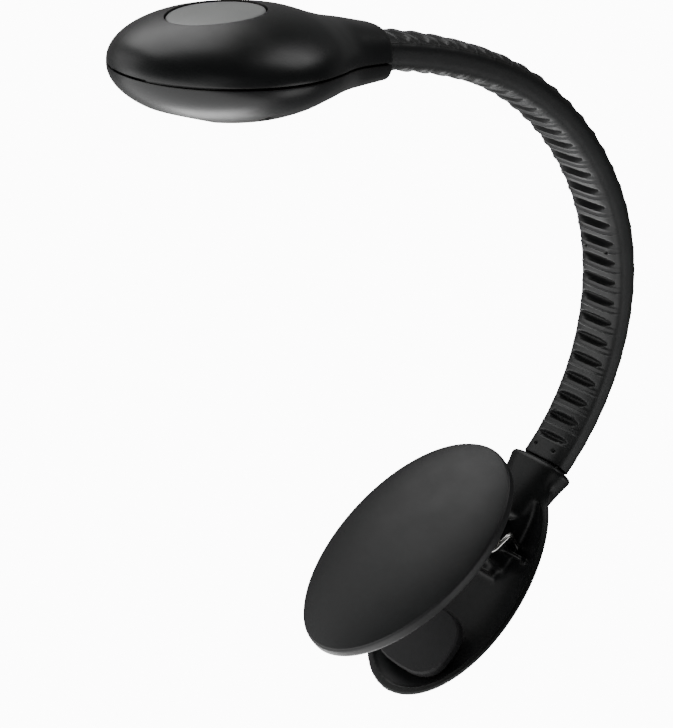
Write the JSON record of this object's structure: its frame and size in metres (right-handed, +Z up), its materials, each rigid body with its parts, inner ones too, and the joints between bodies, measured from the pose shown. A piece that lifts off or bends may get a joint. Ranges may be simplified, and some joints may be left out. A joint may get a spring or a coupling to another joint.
{
  "type": "clip-on reading lamp",
  "caption": "Small lamp that clips to a book or shelf: a sprung oval clip, a flat bendable ribbed arm and a pebble-shaped head with a push button on top and a lens below.",
  "frame": {"origin": "centre of the rear jaw's grip face, the flat face of its soft pad", "axes": "+Z runs up the rear jaw towards the arm, -Y out of the grip face towards the front jaw, X across the clip"},
  "size_m": [0.0398, 0.1491, 0.1141],
  "materials": {
    "rear_jaw_plastic": "satin black moulded plastic",
    "rear_pad_rubber": "matte soft rubber",
    "pin_steel": "blackened steel",
    "spring_steel": "bright drawn wire",
    "screw_steel": "plain steel",
    "cover_plastic": "satin black moulded plastic",
    "frame_plastic": "satin black moulded plastic",
    "front_pad_rubber": "matte soft rubber",
    "arm_rubber": "matte black soft moulding",
    "armature_steel": "plain annealed strip",
    "head_plastic": "satin black moulded plastic",
    "door_plastic": "satin black moulded plastic",
    "button_plastic": "satin mid-grey moulded plastic",
    "lens_plastic": "clear with a fine frost inside",
    "reflector_plastic": "bright metallised plastic",
    "board_laminate": "green lacquered laminate",
    "switch_plastic": "black moulded plastic",
    "plunger_plastic": "pale moulded plastic",
    "led_phosphor": "yellow phosphor gel",
    "cell_steel": "bright plated case",
    "contact_brass": "sprung brass strip"
  },
  "bodies": {
    "rear_jaw": {"rear_jaw_shell": "rear_jaw_plastic", "rear_grip_pad": "rear_pad_rubber", "hinge_pin": "pin_steel", "torsion_spring": "spring_steel", "arm_lock_screw": "screw_steel", "arm_base": "arm_rubber", "armature_strip_base": "armature_steel"},
    "front_jaw": {"front_jaw_cover": "cover_plastic", "front_jaw_frame": "frame_plastic", "front_grip_pad": "front_pad_rubber", "cover_screw_left": "screw_steel", "cover_screw_right": "screw_steel"},
    "arm_1": {"arm_segment_1": "arm_rubber", "armature_strip_1": "armature_steel"},
    "arm_2": {"arm_segment_2": "arm_rubber", "armature_strip_2": "armature_steel"},
    "arm_3": {"arm_segment_3": "arm_rubber", "armature_strip_3": "armature_steel"},
    "arm_4": {"arm_segment_4": "arm_rubber", "armature_strip_4": "armature_steel"},
    "arm_5": {"arm_segment_5": "arm_rubber", "armature_strip_5": "armature_steel"},
    "arm_6": {"arm_segment_6": "arm_rubber", "armature_strip_6": "armature_steel"},
    "arm_7": {"arm_segment_7": "arm_rubber", "armature_strip_7": "armature_steel"},
    "arm_8": {"arm_segment_8": "arm_rubber", "armature_strip_8": "armature_steel"},
    "head": {"arm_end": "arm_rubber", "armature_strip_end": "armature_steel", "head_top_shell": "head_plastic", "head_bottom_shell": "head_plastic", "battery_door": "door_plastic", "lens": "lens_plastic", "reflector": "reflector_plastic", "circuit_board": "board_laminate", "switch_body": "switch_plastic", "led_left": "led_phosphor", "led_right": "led_phosphor", "coin_cell_lower": "cell_steel", "coin_cell_upper": "cell_steel", "battery_contact_lower": "contact_brass", "battery_contact_upper": "contact_brass", "shell_screw_left": "screw_steel", "shell_screw_right": "screw_steel", "battery_door_screw": "screw_steel", "arm_anchor_screw": "screw_steel"},
    "button": {"power_button": "button_plastic", "switch_plunger": "plunger_plastic"}
  },
  "joints": [
    {"name": "clip_hinge", "type": "hinge", "parent": "rear_jaw", "child": "front_jaw", "pos_m": [0, -0.0078, 0.0236], "axis": [-1, 0, 0], "range_deg": [-28, 25], "stiffness_Nm_per_rad": 0.1, "springref_deg": -85.94, "deforming": ["torsion_spring"]},
    {"name": "arm_bend_1", "type": "hinge", "parent": "rear_jaw", "child": "arm_1", "pos_m": [0, 0.00231, 0.05367], "axis": [1, 0, 0], "range_deg": [-18, 8]},
    {"name": "arm_bend_2", "type": "hinge", "parent": "arm_1", "child": "arm_2", "pos_m": [0, -0.0027, 0.06879], "axis": [1, 0, 0], "range_deg": [-18, 8]},
    {"name": "arm_bend_3", "type": "hinge", "parent": "arm_2", "child": "arm_3", "pos_m": [0, -0.01222, 0.08157], "axis": [1, 0, 0], "range_deg": [-18, 8]},
    {"name": "arm_bend_4", "type": "hinge", "parent": "arm_3", "child": "arm_4", "pos_m": [0, -0.02527, 0.0907], "axis": [1, 0, 0], "range_deg": [-18, 8]},
    {"name": "arm_bend_5", "type": "hinge", "parent": "arm_4", "child": "arm_5", "pos_m": [0, -0.0405, 0.09542], "axis": [1, 0, 0], "range_deg": [-13.5, 6]},
    {"name": "arm_bend_6", "type": "hinge", "parent": "arm_5", "child": "arm_6", "pos_m": [0, -0.05644, 0.0962], "axis": [1, 0, 0], "range_deg": [-13.5, 6]},
    {"name": "arm_bend_7", "type": "hinge", "parent": "arm_6", "child": "arm_7", "pos_m": [0, -0.0721, 0.09312], "axis": [1, 0, 0], "range_deg": [-13.5, 6]},
    {"name": "arm_twist", "type": "hinge", "parent": "arm_7", "child": "arm_8", "pos_m": [0, -0.08224, 0.08888], "axis": [0, -0.8949, -0.4462], "range_deg": [-30, 30]},
    {"name": "head_tilt", "type": "hinge", "parent": "arm_8", "child": "head", "pos_m": [0, -0.09098, 0.08403], "axis": [1, 0, 0], "range_deg": [-25, 15]},
    {"name": "button_press", "type": "slide", "parent": "head", "child": "button", "axis": [0, 0.6777, -0.7353], "range_m": [0, 0.0007], "stiffness_N_per_m": 1200}
  ],
  "couplings": [
    {"joint": "arm_bend_2", "follows": "arm_bend_1", "ratio": 1},
    {"joint": "arm_bend_3", "follows": "arm_bend_1", "ratio": 1},
    {"joint": "arm_bend_4", "follows": "arm_bend_1", "ratio": 1},
    {"joint": "arm_bend_6", "follows": "arm_bend_5", "ratio": 1},
    {"joint": "arm_bend_7", "follows": "arm_bend_5", "ratio": 1}
  ]
}
